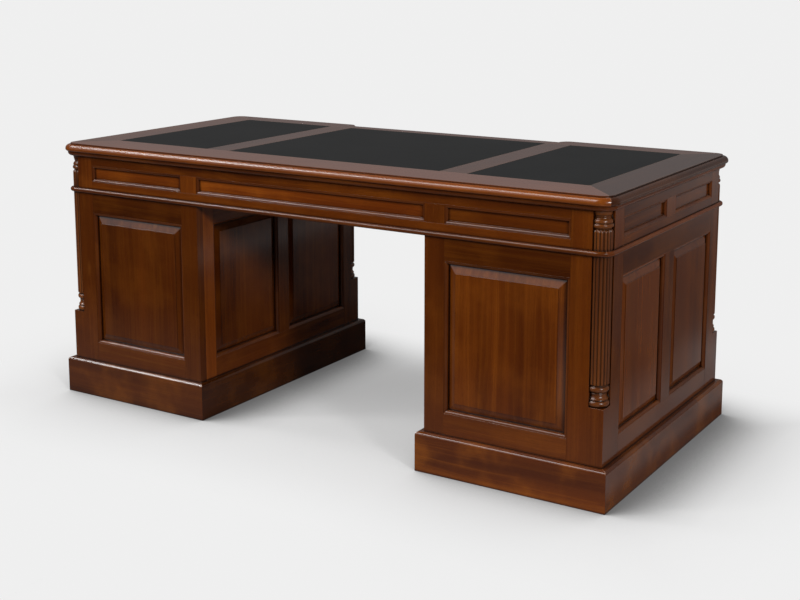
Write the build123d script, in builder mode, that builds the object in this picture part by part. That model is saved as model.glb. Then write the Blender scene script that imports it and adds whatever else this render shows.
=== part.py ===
from build123d import *
import os
from math import radians, sin

# Partners desk: a top section on two pedestals, with nine drawers on the user's side.
# The frame stands on the floor: origin under the desk's centre, X along its length,
# Y from the visitor's side (-Y) to the user's side (+Y), Z up. Millimetres.

# --- overall sizes ---
plinth_length = 1804.0        # over the outer faces of the two plinths
plinth_depth = 862.0
desk_height = 780.0
pedestal_length = 540.0       # one plinth, measured along the desk

# --- plinths ---
plinth_height = 108.0
plinth_projection = 18.0      # of the plinth's face beyond the carcass face
plinth_round = 9.0            # rounded top edge

# --- the heights of the top section, from the top down ---
top_thickness = 24.0
bed_thickness = 14.0
frieze_height = 97.0          # between the bed moulding and the waist moulding
waist_thickness = 13.0

# --- joinery ---
frame_thickness = 26.0
corner_stile = 96.0           # a corner post's width on the visitor's side and the ends
inner_far_stile = 85.0        # the kneehole side's stile at the user's side
inner_near_stile = 71.0       # the kneehole side's stile at the visitor's side
inner_muntin = 49.0
end_muntin = 62.0
visitor_inner_stile = 58.0
pedestal_lower_rail = 58.0
pedestal_upper_rail = 60.0
frieze_lower_rail = 22.0
frieze_upper_rail = 25.0
frieze_muntin = 58.0
centre_recess = 32.0          # how far the user's side steps in between the pedestals
centre_stile = 40.0

# --- corner columns ---
rebate = 40.0                 # the square rebate that holds a column
column_inset = 28.5           # column axis from both carcass faces
column_radius = 27.5
corner_block = 149.0          # plinth to the ledge where a lower column stands
reed_count = 18
reed_depth = 3.6
neck_radius = 21.0            # the waists of the capital and the base
abacus_radius = 26.5          # at its top, under the bed moulding
abacus_foot_radius = 24.0
bell_radius = 26.0
capital_radius = 28.0
abacus_height = 11.0
capital_neck_height = 7.0
capital_bell_height = 13.0
capital_torus_height = 11.0
capital_foot_height = 3.0     # plain neck between the torus and the reeds
base_torus_height = 17.0      # the lower, larger torus of the base
base_bell_height = 14.0
base_neck_height = 7.0
base_ring_height = 14.5       # the torus under the reeds
base_foot_height = 2.5        # plain neck between that torus and the reeds

# --- mouldings of the top section ---
nosing_overhang = 19.0
nosing_upper_round = 13.0
nosing_lower_round = 6.5
nosing_body = 20.0
quirk = 16.0                  # the top lamina's edge, back from the nosing
quirk_depth = 1.5             # how far the lamina's edge reaches down into the nosing
corner_round = 28.0           # corner radius of the carcass outline at the mouldings
bed_overhang = 12.0
bed_round = 11.0
waist_overhang = 8.0
waist_round = 6.0

# --- leathers in the top ---
leather_end_border = 121.0    # nosing to leather at the ends
leather_near_border = 137.0
leather_far_border = 93.0
side_leather_length = 346.0
divider_width = 82.0
leather_thickness = 1.5
ground_thickness = 22.0

# --- panels ---
sticking_width = 9.0
sticking_round = 7.5
sticking_lip = 0.5            # flat left at the foot of the ovolo
fielded_edge_depth = 12.0     # the panel's edge, back from the frame's face
fielded_field_depth = 2.5
fielded_step = 1.5
fielded_bevel = 22.0
panel_back_depth = 22.0
flat_panel_depth = 8.0

# --- drawers ---
bottom_rail_height = 42.0
drawer_rail_height = 18.0
drawer_step = 28.0            # each drawer is deeper than the one above it by this
top_rail_height = 32.0
front_thickness = 20.0
front_setback = 5.0
bead_width = 3.0
bead_height = 2.0
drawer_clearance = 1.0
drawer_side = 12.0
drawer_back = 12.0
drawer_bottom = 6.0
bottom_groove = 8.0           # the drawer bottom's height above the sides' lower edges
pedestal_drawer_length = 640.0
frieze_drawer_length = 560.0
runner_bearing = 12.0         # how far a runner reaches in under a drawer side
guide_height = 24.0
guide_width = 18.0
kicker_height = 14.0
stop_length = 40.0
stop_width = 12.0
stop_height = 5.0
board_thickness = 18.0

# --- knobs ---
knob_reach = 24.0
knob_radius = 16.0
knob_neck = 7.0
knob_base = 11.0
spigot_radius = 5.0
spigot_length = 14.0
spigot_clearance = 0.1
knob_margin = 92.0            # knob axis from the front's end, on a pedestal drawer
frieze_knob_margin = 132.0

# --- derived positions ---
face_x = plinth_length / 2 - plinth_projection            # carcass end face
inner_x = plinth_length / 2 - pedestal_length + plinth_projection
visitor_y = -(plinth_depth / 2 - plinth_projection)
user_y = plinth_depth / 2 - plinth_projection
centre_y = user_y - centre_recess
top_level = desk_height - top_thickness
bed_level = top_level - bed_thickness
frieze_level = bed_level - frieze_height
waist_level = frieze_level - waist_thickness              # the top section sits here
column_ledge = plinth_height + corner_block
user_stile = rebate + frame_thickness
post_size = rebate + frame_thickness
open_x0 = inner_x + user_stile                            # drawer opening of a pedestal
open_x1 = face_x - user_stile
centre_open = inner_x - centre_stile                      # half the centre opening
leather_x = face_x + nosing_overhang - leather_end_border
leather_near = visitor_y - nosing_overhang + leather_near_border
leather_far = user_y + nosing_overhang - leather_far_border

os.makedirs("parts", exist_ok=True)


def save(node, *pieces):
    """Write one node: a single solid, or a group of separate solids."""
    part = pieces[0] if len(pieces) == 1 else Compound(list(pieces))
    part.label = node
    export_step(part, f"parts/{node}.step")


def fill(x_span, y_span, mode=Mode.ADD):
    """A rectangle between two x and two y values, inside an open sketch."""
    with Locations(((x_span[0] + x_span[1]) / 2, (y_span[0] + y_span[1]) / 2)):
        Rectangle(abs(x_span[1] - x_span[0]), abs(y_span[1] - y_span[0]), mode=mode)


def board(x_span, y_span, z_span):
    """One plain board."""
    with BuildPart() as piece:
        with BuildSketch(Plane.XY.offset(z_span[0])):
            fill(x_span, y_span)
        extrude(amount=z_span[1] - z_span[0])
    return piece.part


def outline(overhang):
    """The carcass outline grown by an overhang, inside an open sketch."""
    near = visitor_y - overhang
    far = user_y + overhang
    inner = inner_x - overhang
    outer = face_x + overhang
    radius = corner_round + overhang
    for side in (-1, 1):
        with Locations((side * (inner + outer) / 2, (near + far) / 2)):
            RectangleRounded(outer - inner, far - near, radius)
    fill((-inner - radius, inner + radius), (near, centre_y + overhang))


def mitred(ring, opening_x, opening_near, opening_far):
    """Cut a ring of boards along its mitres into near, far, left and right boards."""
    reach_x = face_x + 2 * nosing_overhang
    reach_near = visitor_y - 2 * nosing_overhang
    reach_far = user_y + 2 * nosing_overhang
    near = [(-reach_x, reach_near), (reach_x, reach_near),
            (opening_x, opening_near), (-opening_x, opening_near)]
    far = [(-reach_x, reach_far), (-opening_x, opening_far),
           (opening_x, opening_far), (reach_x, reach_far)]
    right = [(reach_x, reach_near), (reach_x, reach_far),
             (opening_x, opening_far), (opening_x, opening_near)]
    left = [(-x, y) for x, y in right]
    boards = []
    for corners in (near, far, left, right):
        with BuildPart() as piece:
            add(ring)
            with BuildSketch(Plane.XY):
                with BuildLine():
                    Polyline(*corners, close=True)
                make_face()
            extrude(amount=desk_height, mode=Mode.INTERSECT)
        boards.append(piece.part)
    return boards


# ---------------------------------------------------------------- top section

with BuildPart() as top_slab:
    with BuildSketch(Plane.XY.offset(top_level)):
        outline(nosing_overhang)
    extrude(amount=nosing_body)
    fillet(top_slab.faces().sort_by(Axis.Z)[-1].edges(), nosing_upper_round)
    fillet(top_slab.faces().sort_by(Axis.Z)[0].edges(), nosing_lower_round)
    with BuildSketch(Plane.XY.offset(top_level + nosing_body - quirk_depth)):
        outline(nosing_overhang - quirk)
    extrude(amount=top_thickness - nosing_body + quirk_depth)
    with BuildSketch(Plane.XY.offset(top_level)):
        fill((-leather_x, leather_x), (leather_near, leather_far))
    extrude(amount=top_thickness, mode=Mode.SUBTRACT)
save("top_border", *mitred(top_slab.part, leather_x, leather_near, leather_far))

divider_x = leather_x - side_leather_length - divider_width / 2
bays = [(-leather_x, -divider_x - divider_width / 2),
        (-divider_x + divider_width / 2, divider_x - divider_width / 2),
        (divider_x + divider_width / 2, leather_x)]
save("top_dividers", *[
    board((x - divider_width / 2, x + divider_width / 2), (leather_near, leather_far),
          (top_level, desk_height)) for x in (-divider_x, divider_x)])
save("top_ground_boards", *[
    board(bay, (leather_near, leather_far), (desk_height - leather_thickness - ground_thickness,
                                             desk_height - leather_thickness)) for bay in bays])
save("leather_insets", *[
    board(bay, (leather_near, leather_far), (desk_height - leather_thickness, desk_height))
    for bay in bays])

frame_x = face_x - corner_stile                           # inner edge of the two thin frames
frame_near = visitor_y + corner_stile
frame_far = centre_y - corner_stile

with BuildPart() as bed_frame:
    with BuildSketch(Plane.XY.offset(bed_level)):
        outline(bed_overhang)
    extrude(amount=bed_thickness)
    fillet(bed_frame.faces().sort_by(Axis.Z)[0].edges(), bed_round)
    with BuildSketch(Plane.XY.offset(bed_level)):
        fill((-frame_x, frame_x), (frame_near, frame_far))
    extrude(amount=bed_thickness, mode=Mode.SUBTRACT)
save("bed_moulding", *mitred(bed_frame.part, frame_x, frame_near, frame_far))

with BuildPart() as waist_frame:
    with BuildSketch(Plane.XY.offset(waist_level)):
        outline(waist_overhang)
    extrude(amount=waist_thickness)
    fillet(waist_frame.faces().filter_by(Axis.Z).edges(), waist_round)
    with BuildSketch(Plane.XY.offset(waist_level)):
        fill((-frame_x, frame_x), (frame_near, frame_far))
    extrude(amount=waist_thickness, mode=Mode.SUBTRACT)
save("waist_moulding", *mitred(waist_frame.part, frame_x, frame_near, frame_far))


def post(corner, inward, legs, z_span, ledge=None):
    """A corner post round a column's rebate, with a leg along each carcass face.

    corner is the carcass corner, inward the direction (-1 or 1) into the carcass along
    X and Y, legs the widths seen on the face along X and on the face along Y. Below the
    ledge the post is solid out to the corner.
    """
    def along(axis, low, high):
        return corner[axis] + inward[axis] * low, corner[axis] + inward[axis] * high

    with BuildPart() as piece:
        with BuildSketch(Plane.XY.offset(z_span[0])):
            fill(along(0, rebate, post_size), along(1, 0, post_size))
            fill(along(0, 0, post_size), along(1, rebate, post_size))
            fill(along(0, rebate, legs[0]), along(1, 0, frame_thickness))
            fill(along(0, 0, frame_thickness), along(1, rebate, legs[1]))
        extrude(amount=z_span[1] - z_span[0])
        if ledge:
            with BuildSketch(Plane.XY.offset(z_span[0])):
                fill(along(0, 0, rebate), along(1, 0, rebate))
            extrude(amount=ledge - z_span[0])
    return piece.part


column_corners = []
for side in (-1, 1):
    column_corners.append((side, (side * face_x, visitor_y), (-side, 1), (corner_stile, corner_stile)))
    column_corners.append((side, (side * face_x, user_y), (-side, -1), (user_stile, corner_stile)))
    column_corners.append((side, (side * inner_x, user_y), (side, -1), (user_stile, inner_far_stile)))

frieze_posts = []
for side, corner, inward, legs in column_corners:
    inner_corner = abs(corner[0]) == inner_x
    frieze_legs = (legs[0], post_size) if inner_corner else legs
    frieze_posts.append(post(corner, inward, frieze_legs, (frieze_level, bed_level)))
save("frieze_posts", *frieze_posts)


# ---------------------------------------------------------------- columns

def reeded_shaft(z_span):
    """The reeds and core of a column about the Z axis."""
    bead = column_radius * sin(radians(180 / reed_count))
    with BuildPart() as shaft:
        with BuildSketch(Plane.XY.offset(z_span[0])):
            Circle(column_radius - reed_depth)
            with PolarLocations(column_radius - bead, reed_count):
                Circle(bead)
        extrude(amount=z_span[1] - z_span[0])
    return shaft.part


def turned(profile):
    """A solid of revolution about Z through (radius, z) points, from the bottom up."""
    with BuildPart() as turning:
        with BuildSketch(Plane.XZ):
            with BuildLine():
                Polyline((0, profile[0][1]), *profile, (0, profile[-1][1]), close=True)
            make_face()
        revolve(axis=Axis.Z)
    return turning.part


def bell(low, height, lower_radius, upper_radius):
    """A turned bell about Z, passing from its lower to its upper radius in an S curve."""
    with BuildPart() as cup:
        with BuildSketch(Plane.XZ):
            with BuildLine():
                Polyline((lower_radius, low), (0, low), (0, low + height), (upper_radius, low + height))
                Spline((upper_radius, low + height), (lower_radius, low), tangents=[(0, -1), (0, -1)])
            make_face()
        revolve(axis=Axis.Z)
    return cup.part


def torus_ring(radius, low, height):
    """A disc about Z with a half-round edge."""
    bead = height / 2
    with BuildPart() as disc:
        with BuildSketch(Plane.XZ):
            with Locations((radius - bead, low + bead)):
                Circle(bead)
            fill((0, radius - bead), (low, low + height))
        revolve(axis=Axis.Z)
    return disc.part


def seated(pieces, z_span):
    """Join a column's turnings and keep what stands in a rebate at -X, -Y of its axis."""
    wall = rebate - column_inset
    with BuildPart() as column:
        for piece in pieces:
            add(piece)
        with BuildSketch(Plane.XY.offset(z_span[0])):
            fill((-2 * column_radius, wall), (-2 * column_radius, wall))
        extrude(amount=z_span[1] - z_span[0], mode=Mode.INTERSECT)
    return column.part


def place_columns(template, corners):
    """Copies of a column at the given corners, each turned to face out of its corner."""
    copies = []
    for _, corner, inward, _ in corners:
        turn = {(1, 1): 0, (-1, 1): 90, (-1, -1): 180, (1, -1): 270}[inward]
        centre = [corner[axis] + inward[axis] * column_inset for axis in (0, 1)]
        copies.append(Pos(centre[0], centre[1], 0) * Rot(0, 0, turn) * template)
    return copies


neck_level = bed_level - abacus_height
bell_level = neck_level - capital_neck_height - capital_bell_height
torus_level = bell_level - capital_torus_height
reed_top = torus_level - capital_foot_height
upper_column = seated(
    [reeded_shaft((frieze_level, reed_top)),
     turned([(neck_radius, reed_top), (neck_radius, bell_level)]),
     torus_ring(capital_radius, torus_level, capital_torus_height),
     bell(bell_level, capital_bell_height, bell_radius, neck_radius),
     turned([(neck_radius, bell_level), (neck_radius, neck_level),
             (abacus_foot_radius, neck_level), (abacus_radius, bed_level)])],
    (frieze_level, bed_level))
save("frieze_columns", *place_columns(upper_column, column_corners))

base_bell_level = column_ledge + base_torus_height
ring_level = base_bell_level + base_bell_height + base_neck_height
reed_foot = ring_level + base_ring_height + base_foot_height
lower_column = seated(
    [torus_ring(capital_radius, column_ledge, base_torus_height),
     bell(base_bell_level, base_bell_height, bell_radius, neck_radius),
     turned([(neck_radius, column_ledge), (neck_radius, reed_foot)]),
     torus_ring(column_radius, ring_level, base_ring_height),
     reeded_shaft((reed_foot, waist_level))],
    (column_ledge, waist_level))


# ---------------------------------------------------------------- panels

def sticking(face, width, height, depth):
    """The ovolo moulding round a panel; face is the frame's face at the opening's centre."""
    with BuildPart() as piece:
        with BuildSketch(face.offset(-depth)):
            Rectangle(width, height)
            Rectangle(width - 2 * sticking_width, height - 2 * sticking_width, mode=Mode.SUBTRACT)
        extrude(amount=depth)
        front = piece.faces().sort_by(lambda f: face.to_local_coords(f.center()).Z)[-1]
        round_size = min(sticking_round, depth - sticking_lip, sticking_width - sticking_lip)
        fillet(front.inner_wires().edges(), round_size)
    return piece.part


def fielded_panel(face, width, height):
    """A raised and fielded panel that fills an opening behind its moulding."""
    edge_width = width - 2 * sticking_width
    edge_height = height - 2 * sticking_width
    field_width = edge_width - 2 * fielded_bevel
    field_height = edge_height - 2 * fielded_bevel
    with BuildPart() as piece:
        with BuildSketch(face.offset(-panel_back_depth)):
            Rectangle(width, height)
        extrude(amount=panel_back_depth - fielded_edge_depth)
        with BuildSketch(face.offset(-fielded_edge_depth)):
            Rectangle(edge_width, edge_height)
        with BuildSketch(face.offset(-fielded_field_depth - fielded_step)):
            Rectangle(field_width, field_height)
        loft()
        with BuildSketch(face.offset(-fielded_field_depth - fielded_step)):
            Rectangle(field_width, field_height)
        extrude(amount=fielded_step)
    return piece.part


def flat_panel(face, width, height):
    """A flat panel behind its moulding."""
    with BuildPart() as piece:
        with BuildSketch(face.offset(-panel_back_depth)):
            Rectangle(width, height)
        extrude(amount=panel_back_depth - flat_panel_depth)
    return piece.part


def visitor_face(x_span, z_span):
    """The visitor's side face at the centre of an opening."""
    return Plane((sum(x_span) / 2, visitor_y, sum(z_span) / 2), x_dir=(1, 0, 0), z_dir=(0, -1, 0))


def side_face(x, outward, y_span, z_span):
    """A face across X at the centre of an opening, facing along outward (-1 or 1)."""
    return Plane((x, sum(y_span) / 2, sum(z_span) / 2), x_dir=(0, outward, 0), z_dir=(outward, 0, 0))


def size(span):
    return abs(span[1] - span[0])


mouldings = []


# ---------------------------------------------------------------- frieze

frieze_z = (frieze_level + frieze_lower_rail, bed_level - frieze_upper_rail)
lower_rail_z = (frieze_level, frieze_z[0])
upper_rail_z = (frieze_z[1], bed_level)
frame_back = visitor_y + frame_thickness
muntin_x = inner_x + visitor_inner_stile                  # outer edge of a frieze muntin
visitor_bays = [(-frame_x, -muntin_x), (-muntin_x + frieze_muntin, muntin_x - frieze_muntin),
                (muntin_x, frame_x)]
end_y = [(frame_near, (visitor_y + user_y - end_muntin) / 2),
         ((visitor_y + user_y + end_muntin) / 2, user_y - corner_stile)]

frieze_frame = []
frieze_panels = []
for z_span in (lower_rail_z, upper_rail_z):
    frieze_frame.append(board((-frame_x, frame_x), (visitor_y, frame_back), z_span))
for side in (-1, 1):
    end_span = sorted((side * face_x, side * (face_x - frame_thickness)))
    frieze_frame.append(board(sorted((side * (muntin_x - frieze_muntin), side * muntin_x)),
                              (visitor_y, frame_back), frieze_z))
    for z_span in (lower_rail_z, upper_rail_z):
        frieze_frame.append(board(end_span, (end_y[0][0], end_y[1][1]), z_span))
    frieze_frame.append(board(end_span, (end_y[0][1], end_y[1][0]), frieze_z))
    frieze_frame.append(board(sorted((side * centre_open, side * inner_x)),
                              (centre_y - frame_thickness, centre_y), (frieze_level, bed_level)))
    for y_span in end_y:
        face = side_face(side * face_x, side, y_span, frieze_z)
        frieze_panels.append(flat_panel(face, size(y_span), size(frieze_z)))
        mouldings.append(sticking(face, size(y_span), size(frieze_z), flat_panel_depth))
for bay in visitor_bays:
    face = visitor_face(bay, frieze_z)
    frieze_panels.append(flat_panel(face, size(bay), size(frieze_z)))
    mouldings.append(sticking(face, size(bay), size(frieze_z), flat_panel_depth))
save("frieze_frame", *frieze_frame)
save("frieze_panels", *frieze_panels)

# bearers, guides and stops of the three frieze drawers
post_back = user_y - post_size
frieze_runners = []
for side in (-1, 1):
    frieze_runners.append(board(sorted((side * (centre_open - runner_bearing),
                                        side * (open_x0 + runner_bearing))),
                                (frame_near, frame_far), (waist_level, frieze_level)))
    guide_z = (frieze_level, frieze_level + guide_height)
    for x_span, y_span in (
            ((centre_open, centre_open + guide_width), (frame_back, centre_y - frame_thickness)),
            ((open_x0 - guide_width, open_x0), (frame_back, post_back)),
            ((open_x1, face_x - frame_thickness), (visitor_y + post_size, post_back))):
        frieze_runners.append(board(sorted(side * x for x in x_span), y_span, guide_z))


# ---------------------------------------------------------------- drawers

def stop(x_centre, face_y, level):
    """The block behind a drawer front that stops it flush in its opening."""
    back = face_y - front_setback - front_thickness
    return board((x_centre - stop_length / 2, x_centre + stop_length / 2),
                 (back - stop_width, back), (level, level + stop_height))


def drawer(name, x_span, face_y, z_span, length, margin):
    """The front, box and knobs of one drawer in an opening whose frame face is at face_y."""
    x0 = x_span[0] + drawer_clearance
    x1 = x_span[1] - drawer_clearance
    low = z_span[0]
    high = z_span[1] - drawer_clearance
    front_face = face_y - front_setback
    front_back = front_face - front_thickness
    tail = front_face - length
    mid_z = (low + drawer_clearance + high) / 2
    face = Plane(((x0 + x1) / 2, front_face, mid_z), x_dir=(-1, 0, 0), z_dir=(0, 1, 0))
    width = x1 - x0
    height = high - low - drawer_clearance
    knob_x = width / 2 - margin
    with BuildPart() as front:
        with BuildSketch(face.offset(-front_thickness)):
            Rectangle(width, height)
        extrude(amount=front_thickness)
        with BuildSketch(face):
            Rectangle(width, height)
            Rectangle(width - 2 * bead_width, height - 2 * bead_width, mode=Mode.SUBTRACT)
        extrude(amount=bead_height)
        with BuildSketch(face):
            with Locations((-knob_x, 0), (knob_x, 0)):
                Circle(spigot_radius + spigot_clearance)
        extrude(amount=-spigot_length - spigot_clearance, mode=Mode.SUBTRACT)
    save(f"{name}_front", front.part)

    inside = (x0 + drawer_side, x1 - drawer_side)
    floor = low + bottom_groove
    save(f"{name}_box",
         board((x0, inside[0]), (tail, front_back), (low, high)),
         board((inside[1], x1), (tail, front_back), (low, high)),
         board(inside, (tail, tail + drawer_back), (floor + drawer_bottom, high)),
         board(inside, (tail, front_back), (floor, floor + drawer_bottom)))

    knobs = []
    for offset in (-knob_x, knob_x):
        with BuildPart() as knob:
            with BuildSketch(Plane.XZ):
                with BuildLine():
                    Polyline((0, -spigot_length), (spigot_radius, -spigot_length),
                             (spigot_radius, 0), (knob_base, 0), (knob_base, bead_height),
                             (knob_neck, bead_height * 2), (knob_neck, knob_reach / 3))
                    Spline((knob_neck, knob_reach / 3), (knob_radius, knob_reach * 2 / 3),
                           (0, knob_reach), tangents=[(1, 0.4), (-1, 0)])
                    Line((0, knob_reach), (0, -spigot_length))
                make_face()
            revolve(axis=Axis.Z)
        seat = Plane(face.from_local_coords((offset, 0, 0)), x_dir=face.x_dir, z_dir=face.z_dir)
        knobs.append(seat.location * knob.part)
    save(f"{name}_knobs", *knobs)


for name, x_span, face_y in (
        ("left_frieze_drawer", (-open_x1, -open_x0), user_y),
        ("centre_frieze_drawer", (-centre_open, centre_open), centre_y),
        ("right_frieze_drawer", (open_x0, open_x1), user_y)):
    drawer(name, x_span, face_y, (frieze_level, bed_level), frieze_drawer_length,
           frieze_knob_margin if name.startswith("centre") else knob_margin)
    frieze_runners.append(stop(sum(x_span) / 2, face_y, frieze_level))
save("frieze_runners", *frieze_runners)


# ---------------------------------------------------------------- pedestals

panel_z = (plinth_height + pedestal_lower_rail, waist_level - pedestal_upper_rail)
bottom_z = (plinth_height, panel_z[0])
top_z = (panel_z[1], waist_level)
full_z = (plinth_height, waist_level)
inner_y0 = visitor_y + inner_near_stile
inner_y3 = user_y - inner_far_stile
inner_middle = (inner_y0 + inner_y3) / 2
inner_bays = [(inner_y0, inner_middle - inner_muntin / 2), (inner_middle + inner_muntin / 2, inner_y3)]
bottom_drawer = plinth_height + bottom_rail_height
top_drawer_end = waist_level - top_rail_height
middle_drawer_height = (top_drawer_end - bottom_drawer - 2 * drawer_rail_height) / 3
bottom_drawer_z = (bottom_drawer, bottom_drawer + middle_drawer_height + drawer_step)
middle_drawer = bottom_drawer_z[1] + drawer_rail_height
middle_drawer_z = (middle_drawer, middle_drawer + middle_drawer_height)
top_drawer_z = (middle_drawer_z[1] + drawer_rail_height, top_drawer_end)
rail_spans = [(plinth_height, bottom_drawer_z[0]), (bottom_drawer_z[1], middle_drawer_z[0]),
              (middle_drawer_z[1], top_drawer_z[0]), (top_drawer_z[1], waist_level)]

for name, side in (("left", -1), ("right", 1)):
    def across(low, high):
        """A span along X given for the right pedestal, on this pedestal."""
        return sorted((side * low, side * high))

    corners = [entry for entry in column_corners if entry[0] == side]
    save(f"{name}_pedestal_posts", *[
        post(corner, inward, legs, full_z, column_ledge) for _, corner, inward, legs in corners])
    save(f"{name}_pedestal_columns", *place_columns(lower_column, corners))

    # the visitor's side: one wide fielded panel
    visitor_bay = across(inner_x + visitor_inner_stile, frame_x)
    save(f"{name}_visitor_frame",
         board(across(inner_x, inner_x + visitor_inner_stile), (visitor_y, frame_back), full_z),
         board(visitor_bay, (visitor_y, frame_back), bottom_z),
         board(visitor_bay, (visitor_y, frame_back), top_z))
    face = visitor_face(visitor_bay, panel_z)
    panels = [fielded_panel(face, size(visitor_bay), size(panel_z))]
    mouldings.append(sticking(face, size(visitor_bay), size(panel_z), fielded_edge_depth))

    # the end of the desk and the kneehole side: two fielded panels each
    end_span = across(face_x - frame_thickness, face_x)
    save(f"{name}_end_frame",
         board(end_span, (end_y[0][0], end_y[1][1]), bottom_z),
         board(end_span, (end_y[0][0], end_y[1][1]), top_z),
         board(end_span, (end_y[0][1], end_y[1][0]), panel_z))
    knee_span = across(inner_x, inner_x + frame_thickness)
    save(f"{name}_kneehole_frame",
         board(knee_span, (frame_back, inner_y0), full_z),
         board(knee_span, (inner_y0, inner_y3), bottom_z),
         board(knee_span, (inner_y0, inner_y3), top_z),
         board(knee_span, (inner_bays[0][1], inner_bays[1][0]), panel_z))
    for x, outward, spans in ((side * face_x, side, end_y), (side * inner_x, -side, inner_bays)):
        for y_span in spans:
            face = side_face(x, outward, y_span, panel_z)
            panels.append(fielded_panel(face, size(y_span), size(panel_z)))
            mouldings.append(sticking(face, size(y_span), size(panel_z), fielded_edge_depth))
    save(f"{name}_pedestal_panels", *panels)

    # the user's side: rails between the three drawers
    opening = across(open_x0, open_x1)
    save(f"{name}_drawer_rails", *[board(opening, (post_back, user_y), z) for z in rail_spans])

    # bottom and top boards, notched round the posts
    boards = []
    for z_low in (plinth_height, waist_level - board_thickness):
        with BuildPart() as shelf:
            with BuildSketch(Plane.XY.offset(z_low)):
                fill(across(inner_x + frame_thickness, face_x - frame_thickness),
                     (frame_back, post_back))
                fill(across(face_x - post_size, face_x), (visitor_y, visitor_y + post_size),
                     mode=Mode.SUBTRACT)
            extrude(amount=board_thickness)
        boards.append(shelf.part)
    save(f"{name}_pedestal_boards", *boards)

    # runners, guides, kickers and stops of the three drawers
    run_y = (visitor_y + post_size, post_back)
    runners = []
    for z_span in (bottom_drawer_z, middle_drawer_z, top_drawer_z):
        runners.append(stop(sum(opening) / 2, user_y, z_span[0]))
        for wall, edge, bearing in ((inner_x + frame_thickness, open_x0, open_x0 + runner_bearing),
                                    (face_x - frame_thickness, open_x1, open_x1 - runner_bearing)):
            runners.append(board(across(wall, bearing), run_y,
                                 (z_span[0] - drawer_rail_height, z_span[0])))
            runners.append(board(across(wall, edge), run_y, (z_span[0], z_span[0] + guide_height)))
            if z_span is top_drawer_z:
                runners.append(board(across(wall, bearing), run_y,
                                     (z_span[1], z_span[1] + kicker_height)))
    save(f"{name}_pedestal_runners", *runners)

    # plinth: four mitred boards with a rounded top edge
    plinth_x = (inner_x - plinth_projection, face_x + plinth_projection)
    plinth_y = (visitor_y - plinth_projection, user_y + plinth_projection)
    with BuildPart() as plinth:
        with BuildSketch():
            fill(across(*plinth_x), plinth_y)
        extrude(amount=plinth_height)
        fillet(plinth.faces().sort_by(Axis.Z)[-1].edges(), plinth_round)
        with BuildSketch():
            fill(across(plinth_x[0] + plinth_projection + frame_thickness,
                        plinth_x[1] - plinth_projection - frame_thickness),
                 (frame_back, user_y - frame_thickness))
        extrude(amount=plinth_height, mode=Mode.SUBTRACT)
    wall = plinth_projection + frame_thickness
    inner = (plinth_x[0] + wall, plinth_x[1] - wall, plinth_y[0] + wall, plinth_y[1] - wall)
    quarters = [
        [(plinth_x[0], plinth_y[0]), (plinth_x[1], plinth_y[0]), (inner[1], inner[2]), (inner[0], inner[2])],
        [(plinth_x[0], plinth_y[1]), (inner[0], inner[3]), (inner[1], inner[3]), (plinth_x[1], plinth_y[1])],
        [(plinth_x[0], plinth_y[0]), (inner[0], inner[2]), (inner[0], inner[3]), (plinth_x[0], plinth_y[1])],
        [(plinth_x[1], plinth_y[0]), (plinth_x[1], plinth_y[1]), (inner[1], inner[3]), (inner[1], inner[2])]]
    plinth_boards = []
    for corners_xy in quarters:
        with BuildPart() as plinth_board:
            add(plinth.part)
            with BuildSketch():
                with BuildLine():
                    Polyline(*[(side * x, y) for x, y in corners_xy], close=True)
                make_face()
            extrude(amount=plinth_height, mode=Mode.INTERSECT)
        plinth_boards.append(plinth_board.part)
    save(f"{name}_plinth", *plinth_boards)

    for level, z_span in (("bottom", bottom_drawer_z), ("middle", middle_drawer_z), ("top", top_drawer_z)):
        drawer(f"{name}_{level}_drawer", opening, user_y, z_span, pedestal_drawer_length, knob_margin)

save("panel_mouldings", *mouldings)
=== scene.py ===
"""A pedestal partners desk: leather-lined top, reeded corner columns and nine drawers.

Metres. The frame stands on the floor under the desk's centre: X along its length, Y from
the visitor's side to the user's side with the drawers, Z up.
"""

import logging
import math
import random
from collections import Counter
from dataclasses import dataclass, field
from enum import Enum
from typing import Any, Iterable, Sequence

import bmesh
import bpy
from mathutils import Matrix, Vector


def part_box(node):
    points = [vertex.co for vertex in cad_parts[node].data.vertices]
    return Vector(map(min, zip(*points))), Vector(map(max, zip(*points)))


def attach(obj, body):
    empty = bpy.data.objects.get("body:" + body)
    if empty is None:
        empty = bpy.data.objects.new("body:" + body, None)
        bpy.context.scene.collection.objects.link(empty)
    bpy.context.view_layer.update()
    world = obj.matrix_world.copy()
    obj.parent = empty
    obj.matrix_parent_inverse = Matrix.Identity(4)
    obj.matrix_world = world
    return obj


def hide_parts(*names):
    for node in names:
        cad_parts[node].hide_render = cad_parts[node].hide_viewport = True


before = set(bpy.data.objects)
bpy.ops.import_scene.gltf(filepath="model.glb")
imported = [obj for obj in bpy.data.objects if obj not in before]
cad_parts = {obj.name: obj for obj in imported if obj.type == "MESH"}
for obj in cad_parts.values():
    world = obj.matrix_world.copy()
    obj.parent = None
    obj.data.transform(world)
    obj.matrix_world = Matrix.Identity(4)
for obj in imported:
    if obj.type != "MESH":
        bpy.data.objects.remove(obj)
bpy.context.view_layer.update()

LOG = logging.getLogger("partners_desk")
MESH = bmesh.types.BMesh
SOCKET = bpy.types.NodeSocket
MM = 0.001
NOISE_SPAN = (0.2, 0.8)  # where nearly all of a noise lies


# ------------------------------------------------------------------ finishes

class Grain(Enum):
    """Which way the grain of a board runs."""

    LENGTHWISE = "lengthwise"
    UPRIGHT = "upright"


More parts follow.
